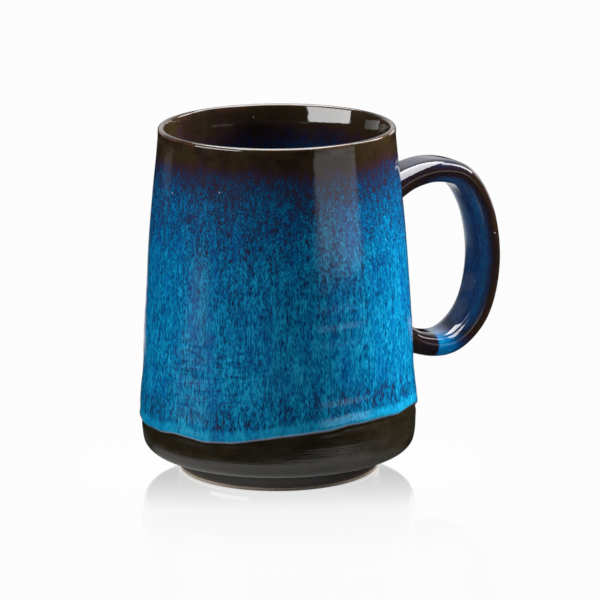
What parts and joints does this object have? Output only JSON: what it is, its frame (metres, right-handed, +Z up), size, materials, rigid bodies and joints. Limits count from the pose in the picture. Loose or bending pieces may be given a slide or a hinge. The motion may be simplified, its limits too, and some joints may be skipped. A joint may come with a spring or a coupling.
{
  "type": "shaving mug",
  "caption": "Tall tapered stoneware mug for shaving soap, with a turned foot ring, a strap handle and a thick blue glaze coat over a dark one.",
  "frame": {"origin": "on the standing plane of the foot ring, under the middle of the whole piece, handle included", "axes": "+Z up along the mug's axis, +X towards the handle"},
  "size_m": [0.1353, 0.0958, 0.12],
  "materials": {
    "cream_clay": "unglazed matte stoneware",
    "slip": "fired slip under dark glaze",
    "dark_glaze": "dark brown gloss glaze",
    "blue_glaze": "streaked blue reactive gloss glaze"
  },
  "bodies": {
    "root": {"clay_body": "cream_clay", "handle": "cream_clay", "upper_slip_joint": "slip", "lower_slip_joint": "slip", "base_glaze_coat": "dark_glaze", "blue_glaze_coat": "blue_glaze", "liner_glaze_coat": "dark_glaze", "handle_glaze_coat": "dark_glaze"}
  },
  "joints": []
}
